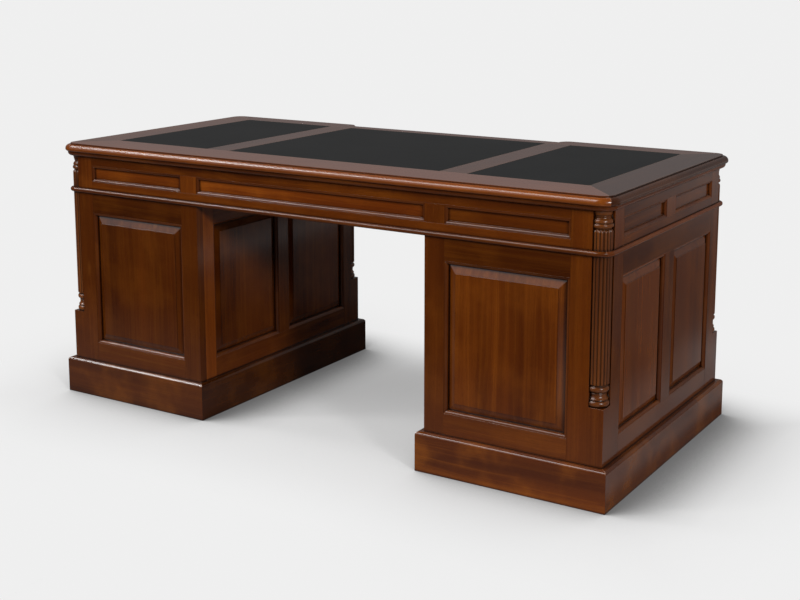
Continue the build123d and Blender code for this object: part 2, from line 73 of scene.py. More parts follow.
class Shader:
    """A node tree, laid out a node at a time."""

    def __init__(self, owner: bpy.types.Material | bpy.types.World) -> None:
        """Start with an empty node tree.

        Args:
            owner: the material or world that the tree belongs to.
        """
        owner.use_nodes = True
        self.tree = owner.node_tree
        self.tree.nodes.clear()

    def plug(self, socket: SOCKET, value: Any) -> None:
        """Feed a socket from another one, or set it to a value.

        Args:
            socket: the socket to fill.
            value: the socket that feeds it, or its value.
        """
        if isinstance(value, SOCKET):
            self.tree.links.new(value, socket)
        else:
            socket.default_value = value

    def node(self, kind: str, inputs: dict[Any, Any] | None = None,
             **settings: Any) -> bpy.types.Node:
        """Add a node.

        Args:
            kind: the node's type name.
            inputs: socket names or numbers, each with a value or with the socket that feeds it.
            **settings: properties of the node.

        Returns:
            The new node.
        """
        made = self.tree.nodes.new(kind)
        for key, value in settings.items():
            setattr(made, key, value)
        for key, value in (inputs or {}).items():
            self.plug(made.inputs[key], value)
        return made

    def value(self, operation: str, *inputs: Any) -> SOCKET:
        """The result of a Math node on numbers or sockets."""
        return self.node("ShaderNodeMath", dict(enumerate(inputs)), operation=operation).outputs[0]

    def ray(self, *kinds: str) -> SOCKET:
        """Tell some kinds of ray from the others.

        Args:
            *kinds: names of kinds, such as Camera or Glossy.

        Returns:
            One for rays of those kinds, and zero for the others.
        """
        path = self.node("ShaderNodeLightPath").outputs
        total = path[f"Is {kinds[0]} Ray"]
        for kind in kinds[1:]:
            total = self.value("MAXIMUM", total, path[f"Is {kind} Ray"])
        return total

    def along(self, axis: str) -> SOCKET:
        """The object's own coordinate along X, Y or Z, or a world ray's."""
        return self.node("ShaderNodeSeparateXYZ", {0: self.node(
            "ShaderNodeTexCoord").outputs["Object"]}).outputs[axis]

    def place(self, attribute: str) -> SOCKET:
        """The vector of a mesh attribute."""
        return self.node("ShaderNodeAttribute", attribute_name=attribute).outputs["Vector"]

    def number(self, attribute: str) -> SOCKET:
        """The number of a mesh attribute."""
        return self.node("ShaderNodeAttribute", attribute_name=attribute).outputs["Fac"]

    def stretch(self, vector: SOCKET, scale: Sequence[float]) -> SOCKET:
        """A vector scaled along its three axes."""
        return self.node("ShaderNodeMapping", {"Vector": vector, "Scale": scale}).outputs[0]

    def noise(self, vector: SOCKET, scale: Sequence[float], detail: float = 2.0,
              roughness: float = 0.5) -> SOCKET:
        """Add noise of mean 0.5.

        Args:
            vector: where the noise is read.
            scale: how many cells it has per metre along each axis.
            detail: how many finer layers it has.
            roughness: how strong the finer layers are.

        Returns:
            The noise, mostly between 0.2 and 0.8.
        """
        return self.node("ShaderNodeTexNoise", {
            "Vector": self.stretch(vector, scale), "Scale": 1.0, "Detail": detail,
            "Roughness": roughness}).outputs["Fac"]

    def band(self, source: SOCKET, low: float, high: float, to_low: float = 0.0,
             to_high: float = 1.0) -> SOCKET:
        """Ease a value from one range to another, and hold it beyond.

        Args:
            source: the value.
            low: where the rise starts.
            high: where it ends.
            to_low: the result up to the start.
            to_high: the result from the end on.

        Returns:
            The eased value.
        """
        return self.node("ShaderNodeMapRange", {
            "Value": source, "From Min": low, "From Max": high, "To Min": to_low,
            "To Max": to_high}, interpolation_type="SMOOTHSTEP").outputs[0]

    def blend(self, share: Any, first: Any, second: Any, how: str = "MIX") -> SOCKET:
        """Mix two colours.

        Args:
            share: how much of the second is taken, from 0 to 1.
            first: a colour, or the socket that feeds it.
            second: a colour, or the socket that feeds it.
            how: the blend type's name.

        Returns:
            The mixed colour.
        """
        return self.node("ShaderNodeMix", {0: share, 6: first, 7: second}, data_type="RGBA",
                         blend_type=how).outputs[2]


class Surface(Shader):
    """A material's node tree with a Principled surface."""

    def __init__(self, name: str) -> None:
        """Start a material with an empty Principled surface.

        Args:
            name: the material's name.
        """
        self.material = bpy.data.materials.new(name)
        super().__init__(self.material)
        self.surface = self.node("ShaderNodeBsdfPrincipled")
        self.output = self.node("ShaderNodeOutputMaterial", {"Surface": self.surface.outputs[0]})

    def bump(self, height: SOCKET, depth: float, strength: float) -> None:
        """Give the surface a relief of a given depth in metres."""
        self.feed(Normal=self.node("ShaderNodeBump", {
            "Height": height, "Distance": depth, "Strength": strength}).outputs[0])

    def feed(self, **sockets: Any) -> None:
        """Set or link the surface's sockets.

        Args:
            **sockets: their names, with _ for each space, and their values or what feeds them.
        """
        for key, value in sockets.items():
            self.plug(self.surface.inputs[key.replace("_", " ")], value)


def shade(red: float, green: float, blue: float) -> tuple[float, float, float, float]:
    """A linear colour with full alpha."""
    return red, green, blue, 1.0


def flowing(s: Surface, place: SOCKET, drift: SOCKET) -> SOCKET:
    """A place in a board, moved across and through the grain by a drift."""
    return s.node("ShaderNodeVectorMath", {0: place, 1: s.node("ShaderNodeCombineXYZ", {
        "Y": drift, "Z": drift}).outputs[0]}, operation="ADD").outputs[0]


@dataclass(frozen=True)
class Pattern:
    """A noise that tints a finish.

    Its cells are counted per metre along, across and through the board. The tint starts
    where the noise is low, and has its full share where the noise is high.
    """

    cells: tuple
    low: float
    high: float
    share: float = 1.0
    layers: float = 2.0
    fineness: float = 0.5

    def noise(self, s: Shader, place: SOCKET) -> SOCKET:
        """The plain noise at a place."""
        return s.noise(place, self.cells, self.layers, self.fineness)

    def tint(self, s: Shader, noise: SOCKET) -> SOCKET:
        """How much of the tint a noise gives."""
        return s.band(noise, self.low, self.high, 0.0, self.share)

    def at(self, s: Shader, place: SOCKET) -> SOCKET:
        """How much of the tint there is at a place."""
        return self.tint(s, self.noise(s, place))


@dataclass(frozen=True)
class PolishedMahogany:
    """Stained mahogany under a lacquer, with its grain along the board.

    The stain collects in the creases, which painted shade darkens further, and the upper
    arrises carry a painted highlight. Above a level, the surface is rubbed to a low lustre and
    takes a grey-mauve colour that is partly a painted sheen.
    """

    name: str = "polished_mahogany"
    deep: tuple = shade(0.042, 0.0075, 0.0008)
    body: tuple = shade(0.134, 0.0290, 0.0022)
    glow: tuple = shade(0.240, 0.0660, 0.0050)
    ember: tuple = shade(0.360, 0.1200, 0.0150)
    # stain in the creases, deepened as painted shade
    gathered_stain_and_shade: tuple = shade(0.009, 0.0022, 0.0007)
    # painted highlight on the upward-facing arrises
    arris_highlight: tuple = shade(0.340, 0.1700, 0.1050)
    # grey-mauve colour of the rubbed top, partly a painted sheen
    satin_sheen: tuple = shade(0.096, 0.0530, 0.0460)
    open_pore: tuple = shade(0.010, 0.003, 0.001)
    broad: Pattern = Pattern((0.5, 6.5, 6.5), 0.22, 0.78, layers=3.0, fineness=0.6)
    streaks: Pattern = Pattern((0.9, 55.0, 55.0), 0.40, 0.80, 0.30, layers=3.0, fineness=0.65)
    lines: Pattern = Pattern((1.6, 170.0, 170.0), 0.58, 0.80, 0.22)
    curl: Pattern = Pattern((7.0, 7.0, 7.0), 0.42, 0.72, layers=3.0, fineness=0.55)
    fibres: Pattern = Pattern((6.0, 480.0, 480.0), 0.30, 0.70, 0.22, layers=3.0, fineness=0.6)
    pores: Pattern = Pattern((70.0, 1400.0, 1400.0), 0.60, 0.72, layers=1.0)
    pore_share: float = 0.35
    figure: float = 0.22
    sway_cells: tuple = (1.3, 6.0, 6.0)
    sway: float = 0.045
    knots: float = 1.0
    knot_cells: tuple = (1.7, 5.5, 5.5)
    knot_heart: tuple = (0.012, 0.085)
    knot_share: float = 0.75
    knot_eddy: tuple = (0.02, 0.30)
    knot_sway: float = 0.010
    # where and how strongly the painted shade darkens the creases
    crease_reach: float = 6.5 * MM
    crease_full: float = 0.56
    crease_none: float = 0.96
    crease_share: float = 0.92
    # where and how strongly the painted highlight lightens the upper arrises
    arris_reach: float = 2.2 * MM
    arris_span: tuple = (0.50, 0.90)
    upward_span: tuple = (0.15, 0.60)
    arris_highlight_share: float = 0.60
    roughness: tuple = (0.23, 0.31)
    coat: float = 0.90
    coat_roughness: float = 0.14
    # the rubbed top: rougher, and partly tinted grey-mauve as a painted sheen
    rubbed_above: float = 9.0
    rubbed_fade: float = 0.5 * MM
    satin_sheen_share: float = 0.70
    rubbed_roughness: float = 0.30
    grain_relief: float = 0.10 * MM
    grain_strength: float = 0.18

    def material(self) -> bpy.types.Material:
        """Build the lacquered wood.

        Returns:
            Its material.
        """
        s = Surface(self.name)
        place = s.place("grain")
        knot = s.node("ShaderNodeTexVoronoi", {
            "Vector": s.stretch(place, self.knot_cells), "Scale": 1.0,
            "Randomness": 1.0}).outputs["Distance"]
        eddy = s.band(knot, *self.knot_eddy, self.knots, 0.0)
        lean = s.value("SUBTRACT", s.noise(place, self.sway_cells), 0.5)
        drift = s.value("ADD", s.value("MULTIPLY", lean, self.sway),
                        s.value("MULTIPLY", eddy, self.knot_sway))
        flow = flowing(s, place, drift)
        fibre, pore = self.fibres.noise(s, flow), self.pores.at(s, flow)
        colour = self.stained(s, flow, knot, fibre, pore)
        gloss = s.band(fibre, *NOISE_SPAN, *self.roughness)
        if self.rubbed_above < 1.0:
            # painted sheen: above the level the top takes the grey-mauve colour
            rubbed = s.band(s.along("Z"), self.rubbed_above, self.rubbed_above + self.rubbed_fade)
            colour = s.blend(s.value("MULTIPLY", rubbed, self.satin_sheen_share), colour, self.satin_sheen)
            gloss = s.value("ADD", gloss, s.value("MULTIPLY", rubbed, self.rubbed_roughness))
        # the board's tone, which on some boards carries painted light and shade
        toned = s.node("ShaderNodeHueSaturation", {
            "Color": colour, "Value": s.value("ADD", s.number("tone"), 0.5)}).outputs[0]
        s.feed(Base_Color=self.handled(s, toned), Roughness=gloss, IOR=1.45,
               Specular_IOR_Level=0.0, Coat_Weight=self.coat,
               Coat_Roughness=self.coat_roughness, Coat_IOR=1.5)
        relief = s.value("SUBTRACT", s.value("MULTIPLY", fibre, 0.4), pore)
        s.bump(relief, self.grain_relief, self.grain_strength)
        return s.material

    def stained(self, s: Surface, flow: SOCKET, knot: SOCKET, fibre: SOCKET,
                pore: SOCKET) -> SOCKET:
        """Lay the wood's colours over each other, from the broadest pattern to the finest.

        Args:
            s: the wood's node tree.
            flow: the place along, across and through the grain.
            knot: the distance to the nearest knot.
            fibre: the fine noise of the fibres.
            pore: one in the pores and zero between them.

        Returns:
            The colour before the board's own tone.
        """
        curl = s.value("MULTIPLY", self.curl.at(s, flow), self.figure)
        heart = s.value("MULTIPLY", s.band(knot, *self.knot_heart, self.knots, 0.0),
                        self.knot_share)
        colour = self.deep
        for share, tint in (
                (self.broad.at(s, flow), self.body), (self.streaks.at(s, flow), self.glow),
                (self.lines.at(s, flow), self.glow), (curl, self.glow), (heart, self.ember),
                (self.fibres.tint(s, fibre), self.deep),
                (s.value("MULTIPLY", pore, self.pore_share), self.open_pore)):
            colour = s.blend(share, colour, tint)
        return colour

    def handled(self, s: Surface, colour: SOCKET) -> SOCKET:
        """Add stain and painted shade to the creases and a painted highlight to the upper arrises.

        Args:
            s: the wood's node tree.
            colour: the wood's colour.

        Returns:
            The colour with its darkened creases and painted highlight on the upper arrises.
        """
        # painted shade: where little of the sky is open nearby, the colour darkens towards the
        # stain
        crease = s.node("ShaderNodeAmbientOcclusion", {"Distance": self.crease_reach},
                        samples=6).outputs["AO"]
        stain_and_shade_share = s.band(crease, self.crease_full, self.crease_none, self.crease_share, 0.0)
        colour = s.blend(stain_and_shade_share, colour, self.gathered_stain_and_shade)
        # painted highlight: convex arrises that face upwards are lightened
        facing = s.node("ShaderNodeSeparateXYZ", {0: s.node(
            "ShaderNodeNewGeometry").outputs["Normal"]}).outputs["Z"]
        arris = s.node("ShaderNodeAmbientOcclusion", {"Distance": self.arris_reach},
                       samples=6, inside=True).outputs["AO"]
        arris_highlight_mask = s.value("MULTIPLY", s.band(arris, *self.arris_span, self.arris_highlight_share, 0.0),
                      s.band(facing, *self.upward_span))
        return s.blend(arris_highlight_mask, colour, self.arris_highlight)


@dataclass(frozen=True)
class InnerWood:
    """Unpolished, sealed wood of the drawer boxes, runners and boards inside."""

    name: str = "inner_wood"
    pale: tuple = shade(0.400, 0.235, 0.118)
    late: tuple = shade(0.250, 0.128, 0.055)
    open_pore: tuple = shade(0.110, 0.050, 0.020)
    rings: Pattern = Pattern((0.5, 48.0, 48.0), 0.36, 0.70, layers=3.0, fineness=0.6)
    fibres: Pattern = Pattern((8.0, 600.0, 600.0), 0.30, 0.70, 0.30)
    pores: Pattern = Pattern((60.0, 1200.0, 1200.0), 0.60, 0.74, layers=1.0)
    pore_share: float = 0.4
    sway_cells: tuple = (1.0, 5.0, 5.0)
    sway: float = 0.08
    tone_span: tuple = (0.70, 1.30)
    roughness: tuple = (0.50, 0.68)
    grain_relief: float = 0.25 * MM
    grain_strength: float = 0.35

    def material(self) -> bpy.types.Material:
        """Build the sealed wood.

        Returns:
            Its material.
        """
        s = Surface(self.name)
        place = s.place("grain")
        lean = s.value("SUBTRACT", s.noise(place, self.sway_cells), 0.5)
        flow = flowing(s, place, s.value("MULTIPLY", lean, self.sway))
        fibre, pore = self.fibres.noise(s, flow), self.pores.at(s, flow)
        colour = s.blend(self.rings.at(s, flow), self.pale, self.late)
        colour = s.blend(self.fibres.tint(s, fibre), colour, self.late)
        colour = s.blend(s.value("MULTIPLY", pore, self.pore_share), colour, self.open_pore)
        toned = s.node("ShaderNodeHueSaturation", {
            "Color": colour,
            "Value": s.band(s.number("tone"), 0.0, 1.0, *self.tone_span)}).outputs[0]
        s.feed(Base_Color=toned, Roughness=s.band(fibre, *NOISE_SPAN, *self.roughness), IOR=1.45)
        s.bump(s.value("SUBTRACT", fibre, pore), self.grain_relief, self.grain_strength)
        return s.material


@dataclass(frozen=True)
class BlackLeather:
    """Black desk leather: a fine pebbled grain with a soft sheen."""

    name: str = "black_leather"
    valley: tuple = shade(0.0030, 0.0032, 0.0034)
    crown: tuple = shade(0.0085, 0.0088, 0.0090)
    faded: tuple = shade(0.0130, 0.0132, 0.0135)
    clouds: Pattern = Pattern((5.0, 5.0, 5.0), 0.3, 0.7, 0.25, layers=3.0)
    pebbles: float = 720.0
    pebble_edge: float = 0.22
    swell_cells: tuple = (90.0, 90.0, 90.0)
    swell: float = 0.6
    roughness: tuple = (0.56, 0.62)
    sheen: float = 0.56
    sheen_roughness: float = 0.42
    pebble_relief: float = 0.22 * MM
    pebble_strength: float = 0.45

    def material(self) -> bpy.types.Material:
        """Build the leather.

        Returns:
            Its material.
        """
        s = Surface(self.name)
        place = s.node("ShaderNodeTexCoord").outputs["Object"]
        cell = s.node("ShaderNodeTexVoronoi", {"Vector": place, "Scale": self.pebbles},
                      feature="DISTANCE_TO_EDGE").outputs["Distance"]
        pebble = s.band(cell, 0.0, self.pebble_edge)
        cloud = self.clouds.noise(s, place)
        swell = s.value("MULTIPLY", s.noise(place, self.swell_cells), self.swell)
        colour = s.blend(pebble, self.valley, self.crown)
        colour = s.blend(self.clouds.tint(s, cloud), colour, self.faded)
        gloss = s.band(cloud, self.clouds.low, self.clouds.high, *self.roughness)
        s.feed(Base_Color=colour, Roughness=gloss, IOR=1.42, Specular_IOR_Level=0.0,
               Coat_Weight=self.sheen, Coat_Roughness=self.sheen_roughness, Coat_IOR=1.5)
        s.bump(s.value("ADD", pebble, swell), self.pebble_relief, self.pebble_strength)
        return s.material


@dataclass
class Finishes:
    """The finishes of the whole desk, each built once."""

    case: bpy.types.Material = field(default_factory=lambda: PolishedMahogany().material())
    figured: bpy.types.Material = field(default_factory=lambda: PolishedMahogany(
        name="figured_mahogany", figure=0.62, knots=0.0).material())
    moulded: bpy.types.Material = field(default_factory=lambda: PolishedMahogany(
        name="moulded_mahogany", knots=0.0, coat=0.72, coat_roughness=0.24).material())
    # the turned parts take a browner, fuller painted shade in the reeds' gaps and no painted
    # highlight
    turned: bpy.types.Material = field(default_factory=lambda: PolishedMahogany(
        name="turned_mahogany", knots=0.0, coat_roughness=0.30, arris_highlight_share=0.0,
        gathered_stain_and_shade=shade(0.024, 0.0070, 0.0015),
        body=shade(0.190, 0.0480, 0.0045), glow=shade(0.290, 0.0860, 0.0090),
        crease_full=0.66, crease_none=0.99).material())
    # the top above its level takes a grey-mauve colour, partly a painted sheen
    rubbed: bpy.types.Material = field(default_factory=lambda: PolishedMahogany(
        name="rubbed_mahogany", knots=0.0, coat_roughness=0.23,
        body=shade(0.160, 0.0390, 0.0036), rubbed_above=0.7790).material())
    inner: bpy.types.Material = field(default_factory=lambda: InnerWood().material())
    leather: bpy.types.Material = field(default_factory=lambda: BlackLeather().material())


# how light each board of a node is, in the node's order: 0.5 is the finish as written.
# Partly the board's own tone and partly painted light and shade: the near top border is
# lighter and its right end darker, the near kneehole stile lighter and the kneehole board of
# the left plinth darker
BOARD_TONES_AND_LIGHT: dict[str, tuple] = {
    "top_border": (1.22, 0.50, 0.62, 0.10),
    "top_dividers": (0.42, 0.34),
    "bed_moulding": (0.55,),
    "waist_moulding": (0.65,),
    "frieze_posts": (0.85, 0.50, 0.50, 0.50, 0.50, 0.50),
    "frieze_frame": (0.62, 0.52, 0.75, 0.50, 0.50, 0.50, 0.50, 0.50, 0.42, 0.42, 0.50, 0.50),
    "frieze_panels": (0.45, 0.45, 0.40, 0.36, 1.10, 1.70, 0.50),
    "right_visitor_frame": (0.42, 0.60, 0.24),
    "left_visitor_frame": (0.24, 0.26, 0.16),
    "right_end_frame": (0.45, 0.24, 0.36),
    "left_end_frame": (0.45, 0.30, 0.36),
    "left_kneehole_frame": (0.92, 0.40, 0.36, 0.30),
    "right_pedestal_panels": (0.68, 0.52, 0.42, 0.40, 0.36),
    "left_pedestal_panels": (0.34, 0.50, 0.42, 0.24, 0.52),
    "right_pedestal_posts": (0.50, 0.45, 0.50),
    "left_pedestal_posts": (0.26, 0.45, 0.45),
    "right_plinth": (0.68, 0.50, 0.30, 0.50),
    "left_plinth": (0.32, 0.50, -0.18, 0.50),
}


# ------------------------------------------------------------------ making meshes

def extent(bm: MESH) -> tuple[Vector, Vector]:
    """The lowest and the highest corner of a mesh's box."""
    return (Vector(min(v.co[i] for v in bm.verts) for i in range(3)),
            Vector(max(v.co[i] for v in bm.verts) for i in range(3)))


def lay_grain(bm: MESH, seed: str, grain: Grain = Grain.LENGTHWISE, tone: float = 0.5) -> MESH:
    """Write where each vertex lies in its board: along, across and through the grain.

    Args:
        bm: one board, in place.
        seed: a name that picks the log the board is cut from.
        grain: which way the grain runs; a board that is nearly as tall as it is long is
            always cut upright.
        tone: how light the board is, partly its own tone and partly painted light and shade,
            where 0.5 is the finish as written and -0.5 is black; boards differ a little about it.

    Returns:
        The same mesh, with the attributes "grain" and "tone".
    """
    low, high = extent(bm)
    reach = high - low
    if grain is Grain.UPRIGHT or reach.z > 0.6 * max(reach.x, reach.y):
        order = (2, 0, 1)
    elif reach.x >= reach.y:
        order = (0, 1, 2)
    else:
        order = (1, 0, 2)
    log = random.Random(seed)
    shift = Vector(log.uniform(-4.0, 4.0) for _ in range(3))
    tone = tone + log.uniform(-0.09, 0.09)
    vectors, numbers = bm.verts.layers.float_vector, bm.verts.layers.float
    along = vectors.get("grain") or vectors.new("grain")
    tint = numbers.get("tone") or numbers.new("tone")
    for vert in bm.verts:
        vert[along] = Vector(vert.co[i] for i in order) + shift
        vert[tint] = tone
    return bm


def joined(parts: Iterable[MESH]) -> MESH:
    """Put meshes together in one.

    Args:
        parts: the meshes, which are freed.

    Returns:
        One mesh with copies of all of them.
    """
    whole = bmesh.new()
    for part in parts:
        scratch = bpy.data.meshes.new("scratch")
        part.to_mesh(scratch)
        part.free()
        whole.from_mesh(scratch)
        bpy.data.meshes.remove(scratch)
    return whole


def solids(node: str) -> list[MESH]:
    """Copies of a CAD node's separate boards, each merged into one closed mesh.

    The node's triangles come board by board, and a board is complete when each of its
    edges has met the same edge of a neighbour, run the other way.

    Args:
        node: the CAD node's name.

    Returns:
        One mesh for each board, in the node's order.
    """
    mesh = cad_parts[node].data
    spots = [tuple(round(c * 1e6) for c in v.co) for v in mesh.vertices]
    groups: list[set[int]] = [set()]
    waiting: Counter = Counter()
    for face in mesh.polygons:
        ring = [spots[i] for i in face.vertices]
        groups[-1].add(face.index)
        for start, end in zip(ring, ring[1:] + ring[:1]):
            if waiting[(end, start)]:
                waiting[(end, start)] -= 1
            else:
                waiting[(start, end)] += 1
        if not +waiting:
            groups.append(set())
            waiting.clear()
    plain = mesh.copy()
    for name in ("custom_normal", "sharp_edge", "sharp_face"):
        if name in plain.attributes:
            plain.attributes.remove(plain.attributes[name])
    boards = []
    for group in filter(None, groups):
        bm = bmesh.new()
        bm.from_mesh(plain)
        bmesh.ops.delete(bm, geom=[f for f in bm.faces if f.index not in group], context="FACES")
        bmesh.ops.remove_doubles(bm, verts=bm.verts, dist=2e-6)
        bmesh.ops.dissolve_limit(bm, angle_limit=0.004, use_dissolve_boundaries=False,
                                 verts=bm.verts, edges=bm.edges)
        boards.append(bm)
    bpy.data.meshes.remove(plain)
    return boards


def board(low: Sequence[float], high: Sequence[float]) -> MESH:
    """Make a plain board.

    Args:
        low: its lowest corner.
        high: its highest corner.

    Returns:
        The board, as a closed mesh.
    """
    bm = bmesh.new()
    low, high = Vector(low), Vector(high)
    bmesh.ops.create_cube(bm, size=1.0)
    bmesh.ops.scale(bm, vec=high - low, verts=bm.verts)
    bmesh.ops.translate(bm, vec=(low + high) / 2, verts=bm.verts)
    return bm


class Outline:
    """A drawn line in the XZ plane, grown a stroke at a time from its last vertex."""

    def __init__(self, x: float, z: float) -> None:
        """Start the line."""
        self.bm = bmesh.new()
        self.last = self.bm.verts.new((x, 0.0, z))

    def to(self, *points: tuple[float, float]) -> "Outline":
        """Draw straight strokes.

        Args:
            *points: the X and Z of each point that they go through.

        Returns:
            The same line.
        """
        for x, z in points:
            self.last = bmesh.ops.extrude_vert_indiv(self.bm, verts=[self.last])["verts"][0]
            self.last.co = (x, 0.0, z)
        return self

    def arc(self, x: float, z: float, turn: float, steps: int = 6) -> "Outline":
        """Draw an arc.

        Args:
            x: X of its end.
            z: Z of its end.
            turn: how far it turns, in degrees, positive to the left.
            steps: how many strokes it is made of.

        Returns:
            The same line.
        """
        start, end = self.last.co.copy(), Vector((x, 0.0, z))
        chord = end - start
        left = Vector((-chord.z, 0.0, chord.x))
        centre = (start + end) / 2 + left * (0.5 / math.tan(math.radians(turn) / 2))
        made = bmesh.ops.spin(self.bm, geom=[self.last], cent=centre, axis=(0.0, -1.0, 0.0),
                              angle=math.radians(turn), steps=steps, use_merge=False)
        self.last = next(v for v in made["geom_last"] if isinstance(v, bmesh.types.BMVert))
        return self

    def turned(self, steps: int) -> MESH:
        """Spin the line about Z.

        Args:
            steps: how many sides the turning has.

        Returns:
            The closed turning.
        """
        bmesh.ops.spin(self.bm, geom=self.bm.verts[:] + self.bm.edges[:], cent=(0, 0, 0),
                       axis=(0, 0, 1), angle=math.tau, steps=steps, use_merge=True)
        bmesh.ops.remove_doubles(self.bm, verts=self.bm.verts, dist=1e-6)
        bmesh.ops.recalc_face_normals(self.bm, faces=self.bm.faces)
        return self.bm

    def drawn_out(self, length: float) -> MESH:
        """Fill the closed line and extrude it along Y from the origin.

        Args:
            length: how far it is extruded.

        Returns:
            The closed length of moulding.
        """
        bmesh.ops.remove_doubles(self.bm, verts=self.bm.verts, dist=1e-7)
        face = bmesh.ops.contextual_create(self.bm, geom=self.bm.edges[:])["faces"][0]
        made = bmesh.ops.extrude_face_region(self.bm, geom=[face], use_keep_orig=True)["geom"]
        bmesh.ops.translate(self.bm, vec=(0.0, length, 0.0),
                            verts=[v for v in made if isinstance(v, bmesh.types.BMVert)])
        bmesh.ops.recalc_face_normals(self.bm, faces=self.bm.faces)
        return self.bm


class Turning(Outline):
    """The outline of a turning, in millimetres of radius and of height from a level."""

    def __init__(self, level: float, sense: int, start: float = 0.0) -> None:
        """Start on the axis; heights are measured up (1) or down (-1) from the level."""
        super().__init__(0.0, level + sense * start * MM)
        self.level, self.sense = level, sense

    def at(self, radius: float, height: float) -> tuple[float, float]:
        """A point of the turning in metres."""
        return radius * MM, self.level + self.sense * height * MM

    def to(self, *points: tuple[float, float]) -> "Turning":
        """Straight strokes through the points."""
        super().to(*(self.at(*point) for point in points))
        return self

    def arc(self, x: float, z: float, turn: float, steps: int = 6) -> "Turning":
        """An arc to a point, as seen on the page."""
        super().arc(*self.at(x, z), turn, steps)
        return self


def trimmed(bm: MESH, point: Sequence[float], outward: Sequence[float]) -> MESH:
    """Cut away what lies beyond a plane and close the cut.

    Args:
        bm: a closed mesh.
        point: a point of the plane.
        outward: the plane's direction towards what is cut away.

    Returns:
        The same mesh.
    """
    bmesh.ops.bisect_plane(bm, geom=bm.verts[:] + bm.edges[:] + bm.faces[:], dist=1e-7,
                           plane_co=point, plane_no=outward, clear_outer=True)
    bmesh.ops.holes_fill(bm, edges=[e for e in bm.edges if e.is_boundary], sides=0)
    return bm


def mitred_ring(profile: "Profile", centre: Vector, across: Vector, up: Vector, width: float,
                height: float, seed: str) -> list[MESH]:
    """Four lengths of a moulding round a rectangle, mitred at its corners.

    Args:
        profile: the moulding's section; its x runs into the rectangle and its z outwards.
        centre: the rectangle's centre, on the face that the section's z is measured from.
        across: unit vector along the width.
        up: unit vector along the height.
        width: the rectangle's size along across.
        height: the rectangle's size along up.
        seed: a name that picks the log.

    Returns:
        The four lengths, in place.
    """
    outward = across.cross(up)
    lengths = []
    for turn, (run, along, inward, span) in enumerate((
            (width, across, up, height), (height, up, -across, width),
            (width, -across, -up, height), (height, -up, across, width))):
        bm = profile.outline().drawn_out(run)
        trimmed(bm, (0, 0, 0), (1, -1, 0))
        trimmed(bm, (0, run, 0), (1, 1, 0))
        corner = centre - along * (run / 2) - inward * (span / 2)
        turned = Matrix((inward, along, outward)).transposed().to_4x4()
        bmesh.ops.transform(bm, matrix=Matrix.Translation(corner) @ turned, verts=bm.verts)
        bmesh.ops.recalc_face_normals(bm, faces=bm.faces)
        lengths.append(lay_grain(bm, f"{seed}{turn}"))
    return lengths


@dataclass(frozen=True)
class Profile:
    """The section of the ovolo round a panel."""

    width: float = 9.0 * MM
    depth: float = 12.0 * MM
    radius: float = 7.5 * MM
    quirk: float = 0.6 * MM
    margin: float = 0.2 * MM
    steps: int = 8

    def outline(self) -> Outline:
        """Draw the section: a fillet at the face, an ovolo, and a lip at the panel.

        Returns:
            The closed line.
        """
        fillet = self.width - self.radius - 2 * self.margin
        line = Outline(0.0, -self.depth).to((0.0, 0.0), (fillet, 0.0), (fillet, -self.quirk))
        low = max(-self.depth + 0.3 * MM, -self.quirk - self.radius)
        line.arc(self.width - self.margin, low, -90.0, self.steps)
        return line.to((self.width, low), (self.width, -self.depth), (0.0, -self.depth))


@dataclass(frozen=True)
class BeadProfile(Profile):
    """The section of a cock bead, which stands proud of a drawer front."""

    width: float = 3.0 * MM
    depth: float = 8.0 * MM
    radius: float = 1.5 * MM
    proud: float = 2.0 * MM

    def outline(self) -> Outline:
        """Draw the section: a strip with a rounded edge.

        Returns:
            The closed line.
        """
        shoulder = self.proud - self.radius
        line = Outline(0.0, -self.depth).to((0.0, shoulder))
        line.arc(self.width, shoulder, -180.0, self.steps)
        return line.to((self.width, -self.depth), (0.0, -self.depth))


# ------------------------------------------------------------------ sub-assemblies

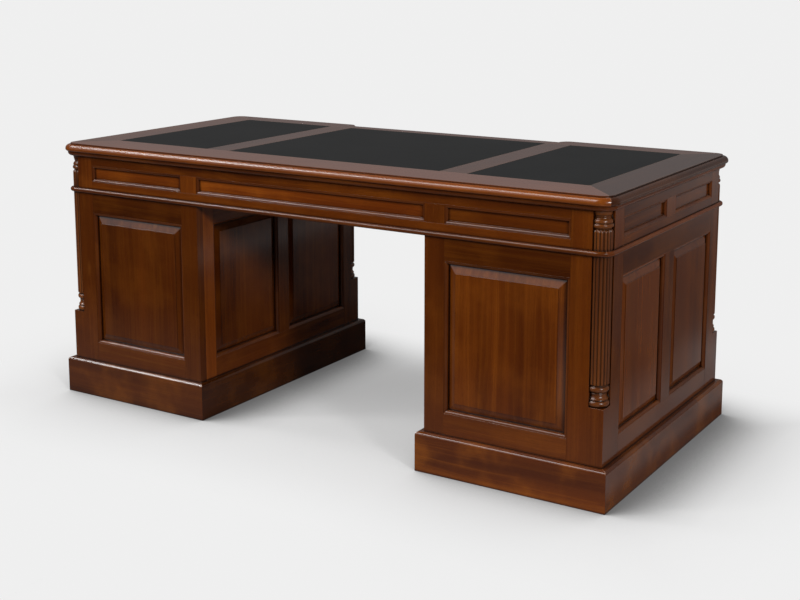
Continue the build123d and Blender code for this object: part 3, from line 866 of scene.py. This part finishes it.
@dataclass
class SubAssembly:
    """What the sub-assemblies share: the finishes and the way a piece is put in place."""

    finishes: Finishes
    made: list[bpy.types.Object] = field(default_factory=list)

    def put(self, name: str, bm: MESH, finish: bpy.types.Material, replaces: Sequence[str],
            body: str = "root", ease: float = 0.4 * MM, sharp: float = 28.0) -> bpy.types.Object:
        """Turn a finished mesh into a piece of the desk.

        Args:
            name: the piece's name.
            bm: its mesh, in place; it is freed.
            finish: its material.
            replaces: the CAD nodes it stands for.
            body: the CAD body it rides on.
            ease: how far its arrises are eased, or 0.
            sharp: the angle in degrees from which an edge is an arris.

        Returns:
            The piece.
        """
        arris = math.radians(sharp)
        for face in bm.faces:
            face.smooth = True
        for edge in bm.edges:
            edge.smooth = not (len(edge.link_faces) == 2 and edge.calc_face_angle(0.0) > arris)
        mesh = bpy.data.meshes.new(name)
        bm.to_mesh(mesh)
        bm.free()
        mesh.materials.append(finish)
        piece = bpy.data.objects.new(name, mesh)
        bpy.context.scene.collection.objects.link(piece)
        if ease:
            bevel = piece.modifiers.new("eased_arrises", "BEVEL")
            bevel.width, bevel.segments, bevel.limit_method = ease, 2, "ANGLE"
            bevel.angle_limit, bevel.use_clamp_overlap = arris, True
        piece.modifiers.new("flat_faces", "WEIGHTED_NORMAL").keep_sharp = True
        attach(piece, body)
        if replaces:
            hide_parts(*replaces)
        self.made.append(piece)
        return piece

    def from_cad(self, node: str, finish: bpy.types.Material, body: str = "root",
                 ease: float = 0.4 * MM, grain: Grain = Grain.LENGTHWISE,
                 sharp: float = 28.0) -> bpy.types.Object:
        """Dress a CAD node: its own boards, with eased arrises and grain along each.

        Args:
            node: the CAD node's name.
            finish: its material.
            body: the CAD body it rides on.
            ease: how far its arrises are eased, or 0.
            grain: which way the grain runs.
            sharp: the angle in degrees from which an edge is an arris.

        Returns:
            The piece that stands for the node.
        """
        board_tones_and_light = BOARD_TONES_AND_LIGHT.get(node, (0.5,))
        boards = [lay_grain(bm, f"{node}{i}", grain, board_tones_and_light[i % len(board_tones_and_light)])
                  for i, bm in enumerate(solids(node))]
        return self.put(f"{node}_dressed", joined(boards), finish, [node], body, ease, sharp)


@dataclass
class TopSection(SubAssembly):
    """The top: bordered leathers over two moulded frames."""

    leather_gap: float = 0.25 * MM
    leather_round: float = 0.6 * MM

    def build(self) -> None:
        """Make the border, dividers, leathers, grounds and mouldings."""
        for node in ("bed_moulding", "waist_moulding"):
            self.from_cad(node, self.finishes.moulded, ease=0.25 * MM)
        for node in ("top_border", "top_dividers"):
            self.from_cad(node, self.finishes.rubbed, ease=0.25 * MM)
        self.from_cad("top_ground_boards", self.finishes.inner)
        self.leathers()

    def leathers(self) -> None:
        """Lay a leather in each of the three recesses, its edges turned down."""
        sheets = []
        for sheet in solids("leather_insets"):
            low, high = extent(sheet)
            sheet.free()
            gap = Vector((self.leather_gap, self.leather_gap, 0.0))
            bm = board(low + gap, high - gap)
            crown = [f for f in bm.faces if f.normal.z > 0.9]
            bmesh.ops.bevel(bm, geom=crown[0].edges[:], offset=self.leather_round, segments=3,
                            profile=0.5, affect="EDGES", material=-1)
            sheets.append(bm)
        self.put("leathers", joined(sheets), self.finishes.leather, ["leather_insets"], ease=0.0)


@dataclass(frozen=True)
class ColumnPlace:
    """A corner where a column stands, and the way out of that corner."""

    x: float
    y: float
    out_x: int
    out_y: int


@dataclass
class Columns(SubAssembly):
    """Reeded columns in the rebates of the corner posts."""

    face_x: float = 0.884
    inner_x: float = 0.380
    face_y: float = 0.413
    inset: float = 28.5 * MM
    rebate: float = 40.0 * MM
    radius: float = 27.5 * MM
    core: float = 23.7 * MM
    reed_draw: float = 3.2 * MM
    reeds: int = 18
    reed_steps: int = 10
    steps: int = 64
    bed_level: float = 0.742
    frieze_level: float = 0.645
    waist_level: float = 0.632
    ledge_level: float = 0.257
    capital_height: float = 44.4 * MM
    base_height: float = 54.6 * MM

    def places(self, side: int) -> list[ColumnPlace]:
        """Find the column corners of one half of the desk.

        Args:
            side: the left half (-1) or the right one (1).

        Returns:
            The half's three corners.
        """
        outer, inner = self.face_x - self.inset, self.inner_x + self.inset
        depth = self.face_y - self.inset
        return [ColumnPlace(side * outer, -depth, side, -1),
                ColumnPlace(side * outer, depth, side, 1),
                ColumnPlace(side * inner, depth, -side, 1)]

    def shaft(self, low: float, high: float, foot: float, head: float) -> MESH:
        """A reeded shaft about Z whose ends draw in over the heights foot and head.

        Args:
            low: the lower end.
            high: the upper end.
            foot: height over which the reeds draw in at the lower end, or 0.
            head: height over which they draw in at the upper end.

        Returns:
            The closed shaft.
        """
        levels = [low] + [low + foot * (1 - math.cos(a)) for a in (0.5, 1.0, math.pi / 2) if foot]
        if head:
            levels += [high - head * (1 - math.sin(math.radians(a))) for a in range(0, 91, 15)]
        else:
            levels.append(high)
        bead = self.radius * math.sin(math.pi / self.reeds)
        inner = self.core - self.reed_draw
        bm = bmesh.new()
        count = self.reeds * self.reed_steps
        ring = bmesh.ops.create_circle(bm, cap_ends=True, radius=1.0, segments=count)["verts"]
        cap = bm.faces[:]
        for index, level in enumerate(levels):
            if index:
                made = bmesh.ops.extrude_face_region(bm, geom=cap)["geom"]
                ring = [v for v in made if isinstance(v, bmesh.types.BMVert)]
                cap = [f for f in made if isinstance(f, bmesh.types.BMFace)]
            near_end = min((level - low) / foot if foot else 1.0,
                           (high - level) / head if head else 1.0, 1.0)
            draw = math.sqrt(max(0.0, 1.0 - (1.0 - near_end) ** 2))
            for vert in ring:
                # a reed's crest points out of the corner, an eighth of a turn from X
                angle = math.atan2(vert.co.y, vert.co.x)
                phase = ((angle / math.tau - 0.125) * self.reeds + 0.5) % 1.0 - 0.5
                crest = math.sqrt(max(0.0, 1.0 - (2.0 * phase) ** 2))
                reach = (self.radius - bead) + bead * crest
                reach = inner + (max(reach, self.core) - inner) * draw
                vert.co = Vector((math.cos(angle) * reach, math.sin(angle) * reach, level))
        bmesh.ops.recalc_face_normals(bm, faces=bm.faces)
        return bm

    def capital(self, top: float) -> MESH:
        """Turn the capital, from the abacus down to the reeds.

        Args:
            top: the level it hangs from.

        Returns:
            The closed turning.
        """
        line = Turning(top, -1)
        line.to((26.4, 0.0), (26.4, 1.2)).arc(23.8, 9.6, 30.0)
        line.to((23.8, 10.6), (21.6, 11.2), (21.6, 12.2))
        line.arc(21.8, 15.4, -150.0).to((21.0, 15.8), (21.1, 17.4)).arc(22.6, 20.4, 40.0)
        line.arc(26.0, 29.8, -58.0, 10).to((24.8, 30.5), (24.8, 31.3)).arc(24.9, 42.3, -122.0, 12)
        return line.to((23.2, 43.0), (23.0, 50.0), (0.0, 50.0)).turned(self.steps)

    def base(self, low: float) -> MESH:
        """Turn the base, from the ledge up to the reeds.

        Args:
            low: the level it stands on.

        Returns:
            The closed turning.
        """
        line = Turning(low, 1)
        line.to((24.4, 0.0), (24.6, 1.0)).arc(24.4, 16.2, 112.0, 12).to((23.4, 17.0), (23.4, 18.6))
        line.to((26.0, 19.2), (26.2, 20.4)).arc(21.6, 30.8, -50.0, 10)
        line.to((21.2, 31.8)).arc(21.4, 35.2, 150.0)
        line.to((21.0, 36.0), (21.0, 37.6), (24.0, 38.4)).arc(24.0, 52.4, 116.0, 12)
        return line.to((23.2, 53.2), (23.0, 60.0), (0.0, 60.0)).turned(self.steps)

    def stand(self, parts: Sequence[tuple[MESH, str]], place: ColumnPlace) -> list[MESH]:
        """Seat a column's parts in a corner.

        Args:
            parts: the parts, about Z with the way out at +X +Y, and the name of each log.
            place: the corner.

        Returns:
            Copies of the parts, cut to the rebate and in place.
        """
        wall = self.rebate - self.inset
        seated = []
        for bm, seed in parts:
            bm = bm.copy()
            trimmed(bm, (-wall, 0, 0), (-1, 0, 0))
            trimmed(bm, (0, -wall, 0), (0, -1, 0))
            turn = math.atan2(place.out_y, place.out_x) - math.radians(45.0)
            bmesh.ops.rotate(bm, matrix=Matrix.Rotation(turn, 3, "Z"), verts=bm.verts,
                             cent=(0, 0, 0))
            bmesh.ops.translate(bm, vec=(place.x, place.y, 0.0), verts=bm.verts)
            seated.append(lay_grain(bm, f"{seed}{place.x:.2f}{place.y:.2f}", Grain.UPRIGHT))
        return seated

    def build(self) -> None:
        """Make the short columns of the frieze and the long ones of the pedestals."""
        neck, foot = self.bed_level - self.capital_height, self.ledge_level + self.base_height
        short = [(self.shaft(self.frieze_level, neck, 0.0, 8.0 * MM), "short"),
                 (self.capital(self.bed_level), "capital")]
        tall = [(self.base(self.ledge_level), "base"),
                (self.shaft(foot, self.waist_level, 2.5 * MM, 0.0), "tall")]
        both = [part for side in (-1, 1) for place in self.places(side)
                for part in self.stand(short, place)]
        self.put("short_columns", joined(both), self.finishes.turned, ["frieze_columns"],
                 ease=0.0, sharp=60.0)
        for name, side in (("left", -1), ("right", 1)):
            parts = [part for place in self.places(side) for part in self.stand(tall, place)]
            self.put(f"{name}_tall_columns", joined(parts), self.finishes.turned,
                     [f"{name}_pedestal_columns"], ease=0.0, sharp=60.0)
        for bm, _ in short + tall:
            bm.free()


@dataclass
class Carcass(SubAssembly):
    """The frieze and the two pedestals: posts, frames, panels, plinths and inner boards."""

    def build(self) -> None:
        """Dress the boards of the frieze and of both pedestals."""
        case, figured, inner = self.finishes.case, self.finishes.figured, self.finishes.inner
        self.from_cad("frieze_posts", case, ease=0.5 * MM, grain=Grain.UPRIGHT)
        self.from_cad("frieze_frame", case, ease=0.25 * MM)
        self.from_cad("frieze_panels", case, ease=0.0)
        self.from_cad("frieze_runners", inner, ease=0.5 * MM)
        for side in ("left", "right"):
            self.from_cad(f"{side}_pedestal_posts", case, ease=0.8 * MM, grain=Grain.UPRIGHT)
            for part in ("visitor", "end", "kneehole"):
                self.from_cad(f"{side}_{part}_frame", case, ease=0.25 * MM)
            self.from_cad(f"{side}_pedestal_panels", case, ease=0.3 * MM, grain=Grain.UPRIGHT,
                          sharp=12.0)
            self.from_cad(f"{side}_drawer_rails", case, ease=0.4 * MM)
            self.from_cad(f"{side}_pedestal_boards", inner, ease=0.5 * MM)
            self.from_cad(f"{side}_pedestal_runners", inner, ease=0.5 * MM)
            self.from_cad(f"{side}_plinth", figured, ease=0.5 * MM)


@dataclass
class PanelMouldings(SubAssembly):
    """The ovolo round each panel, mitred at the corners."""

    pedestal_middle: float = 0.63

    def build(self) -> None:
        """Make four mitred lengths round every opening, sized from the CAD mouldings."""
        parts = []
        for index, ring in enumerate(solids("panel_mouldings")):
            low, high = extent(ring)
            ring.free()
            centre, reach = (low + high) / 2, high - low
            if reach.y < reach.x:
                across, outward = Vector((1, 0, 0)), Vector((0, -1, 0))
                width, depth = reach.x, reach.y
                centre.y = low.y
            else:
                outer = abs(centre.x) > self.pedestal_middle
                facing = 1 if outer == (centre.x > 0) else -1
                across, outward = Vector((0, facing, 0)), Vector((facing, 0, 0))
                width, depth = reach.y, reach.x
                centre.x = high.x if facing > 0 else low.x
            up = outward.cross(across)
            profile = Profile(depth=depth, radius=min(Profile.radius, depth - 1.0 * MM))
            parts += mitred_ring(profile, centre, across, up, width, reach.z, f"ovolo{index}")
        self.put("ovolo_mouldings", joined(parts), self.finishes.moulded, ["panel_mouldings"],
                 ease=0.15 * MM)


@dataclass
class Drawer(SubAssembly):
    """One drawer: front with cock beads, box of four boards and two turned knobs."""

    name: str = ""
    bead: BeadProfile = BeadProfile()
    knob_radius: float = 16.0 * MM

    def build(self) -> None:
        """Make the front, box and knobs on the drawer's own body."""
        self.front()
        self.box()
        self.knobs()

    def front(self) -> None:
        """The front board, rebated for the beads round its edge."""
        node = f"{self.name}_front"
        low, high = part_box(node)
        face_y = high.y - self.bead.proud
        slab = board(low, (high.x, face_y - self.bead.depth, high.z))
        crown = [face for face in slab.faces if face.normal.y > 0.9]
        bmesh.ops.inset_region(slab, faces=crown, thickness=self.bead.width * 0.98)
        risen = bmesh.ops.extrude_face_region(slab, geom=crown)["geom"]
        bmesh.ops.translate(slab, vec=(0.0, self.bead.depth, 0.0),
                            verts=[part for part in risen if isinstance(part, bmesh.types.BMVert)])
        bmesh.ops.delete(slab, geom=crown, context="FACES_ONLY")
        centre = Vector(((low.x + high.x) / 2, face_y, (low.z + high.z) / 2))
        beads = mitred_ring(self.bead, centre, Vector((-1, 0, 0)), Vector((0, 0, 1)),
                            high.x - low.x, high.z - low.z, node)
        self.put(f"{node}_dressed", joined([lay_grain(slab, node)] + beads), self.finishes.case,
                 [node], self.name, ease=0.2 * MM)

    def box(self) -> None:
        """The box: its four boards, each with its own grain and eased edges."""
        self.from_cad(f"{self.name}_box", self.finishes.inner, self.name, ease=0.8 * MM)

    def knobs(self) -> None:
        """Two turned knobs at the places of the CAD knobs."""
        node = f"{self.name}_knobs"
        low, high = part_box(node)
        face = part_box(f"{self.name}_front")[1].y - self.bead.proud
        parts = []
        for index, x in enumerate((low.x + self.knob_radius, high.x - self.knob_radius)):
            line = Turning(0.0, 1, -12.0).to((5.0, -12.0), (5.0, 0.0), (11.0, 0.0))
            line.arc(10.2, 2.6, 120.0, 5).to((8.2, 3.0)).arc(7.6, 8.2, -70.0, 8)
            line.to((9.4, 9.2), (9.6, 10.0)).arc(15.9, 15.4, 48.0, 8)
            line.arc(13.2, 20.4, 96.0, 8).arc(7.4, 22.6, 20.0, 4).to((7.2, 22.1))
            line.arc(0.0, (high.y - face) / MM, 26.0)
            bm = line.turned(48)
            bmesh.ops.rotate(bm, matrix=Matrix.Rotation(math.radians(-90.0), 3, "X"),
                             verts=bm.verts, cent=(0, 0, 0))
            bmesh.ops.translate(bm, vec=(x, face, (low.z + high.z) / 2), verts=bm.verts)
            parts.append(lay_grain(bm, f"{node}{index}"))
        self.put(f"{node}_turned", joined(parts), self.finishes.turned, [node], self.name,
                 ease=0.0, sharp=50.0)


# ------------------------------------------------------------------ studio

@dataclass(frozen=True)
class Lamp:
    """A soft lamp far off in a direction.

    Its strength is what a white card that faces it reflects, its softness the width of its
    disc in degrees, and mirrored says whether the gloss shows it.
    """

    name: str
    strength: float
    softness: float
    toward: tuple
    mirrored: bool = True
    away: float = 6.0

    def hang(self) -> None:
        """Add the lamp to the scene."""
        data = bpy.data.lights.new(self.name, "SUN")
        data.energy, data.angle = self.strength * math.pi, math.radians(self.softness)
        lamp = bpy.data.objects.new(self.name, data)
        lamp.visible_glossy = self.mirrored
        lamp.rotation_mode = "QUATERNION"
        lamp.rotation_quaternion = Vector(self.toward).to_track_quat("Z", "Y")
        lamp.location = Vector(self.toward).normalized() * self.away
        bpy.context.scene.collection.objects.link(lamp)


@dataclass(frozen=True)
class SoftShadow:
    """A soft shadow on the floor, beside and below what stands within its reach.

    It is deepest, with the least share of the light, where only the full share of the sky
    towards the soft light is open.
    """

    reach: float
    toward: tuple
    full: float
    least: float

    def share(self, s: Shader) -> SOCKET:
        """Work out how much of its light the floor keeps.

        Args:
            s: the floor's node tree.

        Returns:
            The share, which is one on the open floor.
        """
        normal = s.node("ShaderNodeCombineXYZ", dict(enumerate(self.toward))).outputs[0]
        sky = s.node("ShaderNodeAmbientOcclusion", {"Distance": self.reach, "Normal": normal},
                     samples=16).outputs["AO"]
        return s.band(sky, self.full, 1.0, self.least, 1.0)


@dataclass
class Studio:
    """A pale floor and backdrop, soft lights and the camera.

    Each fade is the range of places over which it acts, and the values before and after it.
    """

    lamps: tuple = (
        Lamp("key", 0.36, 26.0, (-0.40, -0.52, 0.75)),
        Lamp("key_core", 0.26, 9.0, (-0.64, -0.44, 0.63)),
        Lamp("front", 0.08, 30.0, (-0.56, -0.75, 0.34)),
        Lamp("side", 0.52, 10.0, (0.82, -0.45, 0.35)),
        Lamp("overhead", 0.18, 10.0, (-0.67, -0.06, 0.74)),
        Lamp("rear", 0.20, 50.0, (0.15, 0.78, 0.60), mirrored=False))
    backdrop: float = 0.93
    ambient: float = 0.11
    backdrop_fade: tuple = (-0.3, 0.5, 0.02, 0.22)
    floor_half: float = 90.0
    floor_bounce: tuple = shade(0.40, 0.40, 0.40)
    floor_pale: tuple = (shade(0.810, 0.810, 0.810), shade(0.820, 0.820, 0.820))
    cloud_cells: tuple = (0.6, 0.6, 0.6)
    contact: SoftShadow = SoftShadow(0.22, (-0.36, -0.28, 0.89), 0.40, 0.30)
    under_top: SoftShadow = SoftShadow(0.75, (0.0, 0.0, 1.0), 0.25, 0.76)
    front_fade: tuple = (-1.5, -0.45, 0.02, 0.24)
    back_fade: tuple = (0.1, 0.6, 1.0, 0.35)
    far_fade: tuple = (2.0, 5.0, 0.0, 0.24)
    end_rise: tuple = (0.92, 0.97, 0.0, 0.42)
    end_fall: tuple = (1.02, 1.28, 1.0, 0.0)
    glow_fade: tuple = (0.0, 0.42, 0.50, 1.0)
    glow_level: float = 0.865
    glow_middle_y: float = -0.09
    glow_half: tuple = (0.903, 0.342)
    camera_place: tuple = (2.0961, -3.2757, 1.3249)
    yaw: float = 32.019
    pitch: float = 9.788
    focal_pixels: float = 1331.6
    rise_pixels: float = -110.0
    frame_width: float = 800.0

    def build(self) -> None:
        """Set up the whole studio."""
        self.world()
        self.floor()
        for lamp in self.lamps:
            lamp.hang()
        self.camera()
        bpy.context.scene.view_settings.view_transform = "Standard"

    def world(self) -> None:
        """A pale backdrop, dimmer in reflections, and soft light all round."""
        world = bpy.data.worlds.new("studio")
        bpy.context.scene.world = world
        s = Shader(world)
        mirrored = s.ray("Glossy", "Transmission")
        wall = s.band(s.along("Y"), *self.backdrop_fade)
        light = s.value("MULTIPLY", s.value("SUBTRACT", 1.0, mirrored), self.ambient)
        light = s.value("MULTIPLY_ADD", mirrored, wall, light)
        strength = s.value("MAXIMUM", s.value("MULTIPLY", s.ray("Camera"), self.backdrop), light)
        s.node("ShaderNodeOutputWorld", {"Surface": s.node("ShaderNodeBackground", {
            "Color": shade(1.0, 1.0, 1.0), "Strength": strength}).outputs[0]})

    def floor(self) -> None:
        """Lay a plain pale floor that keeps the desk's shadow."""
        bm = bmesh.new()
        bmesh.ops.create_grid(bm, x_segments=2, y_segments=2, size=self.floor_half)
        mesh = bpy.data.meshes.new("studio_floor")
        bm.to_mesh(mesh)
        bm.free()
        mesh.materials.append(self.floor_material())
        floor = bpy.data.objects.new("studio_floor", mesh)
        bpy.context.scene.collection.objects.link(floor)

    def floor_material(self) -> bpy.types.Material:
        """Build the floor's paint, which the camera sees lit and, away from the desk, even.

        Returns:
            Its material.
        """
        s = Surface("studio_floor")
        camera = s.ray("Camera")
        # painted shadow: the floor's colour and glow darken where less of the sky is open beside
        # and under the desk
        kept = s.value("MULTIPLY", self.contact.share(s), self.under_top.share(s))
        cloud = s.noise(s.node("ShaderNodeTexCoord").outputs["Object"], self.cloud_cells)
        pale = s.blend(1.0, s.blend(cloud, *self.floor_pale), kept, "MULTIPLY")
        colour = s.blend(camera, self.floor_bounce, pale)
        colour = s.blend(s.ray("Glossy", "Transmission"), colour, self.reflected(s))
        s.feed(Base_Color=colour, Roughness=0.9, Specular_IOR_Level=0.0)
        across, out = s.along("X"), s.value("SUBTRACT", s.along("Y"), self.glow_middle_y)
        away = s.value("MAXIMUM", *(s.value("SUBTRACT", s.value("ABSOLUTE", place), half)
                                    for place, half in zip((across, out), self.glow_half)))
        glow = s.node("ShaderNodeEmission", {
            "Color": shade(1.0, 1.0, 1.0), "Strength": s.value("MULTIPLY", kept, self.glow_level)})
        share = s.value("MULTIPLY", camera, s.band(away, *self.glow_fade))
        s.plug(s.output.inputs["Surface"], s.node("ShaderNodeMixShader", {
            0: share, 1: s.surface.outputs[0], 2: glow.outputs[0]}).outputs[0])
        return s.material

    def reflected(self, s: Shader) -> SOCKET:
        """Work out how pale the floor is in reflections, where its near part fades out.

        Args:
            s: the floor's node tree.

        Returns:
            The floor's paleness.
        """
        across, out = s.along("X"), s.along("Y")
        sheet = s.value("MULTIPLY", s.band(out, *self.front_fade), s.band(out, *self.back_fade))
        sheet = s.value("ADD", sheet, s.band(out, *self.far_fade))
        return s.value("ADD", sheet, s.value(
            "MULTIPLY", s.band(across, *self.end_rise), s.band(across, *self.end_fall)))

    def camera(self) -> None:
        """Set up the camera, level from side to side and shifted down a little."""
        data = bpy.data.cameras.new("camera")
        data.sensor_width = 36.0
        data.lens = self.focal_pixels * data.sensor_width / self.frame_width
        data.shift_y = self.rise_pixels / self.frame_width
        data.clip_start, data.clip_end = 0.05, 400.0
        camera = bpy.data.objects.new("camera", data)
        camera.location = self.camera_place
        camera.rotation_euler = (math.radians(90.0 - self.pitch), 0.0, math.radians(self.yaw))
        bpy.context.scene.collection.objects.link(camera)
        bpy.context.scene.camera = camera


def main() -> None:
    """Build the desk's sub-assemblies in order, then the studio."""
    logging.basicConfig(level=logging.INFO, format="%(name)s: %(message)s")
    finishes = Finishes()
    drawers = [f"{side}_frieze_drawer" for side in ("left", "centre", "right")]
    drawers += [f"{side}_{level}_drawer" for side in ("left", "right")
                for level in ("bottom", "middle", "top")]
    parts: list[SubAssembly] = [TopSection(finishes), Columns(finishes), Carcass(finishes),
                                PanelMouldings(finishes)]
    parts += [Drawer(finishes, name=name) for name in drawers]
    for part in parts:
        part.build()
        for piece in part.made:
            LOG.info("%s: %s, %d faces", type(part).__name__, piece.name, len(piece.data.polygons))
    Studio().build()


if __name__ == "__main__":
    main()
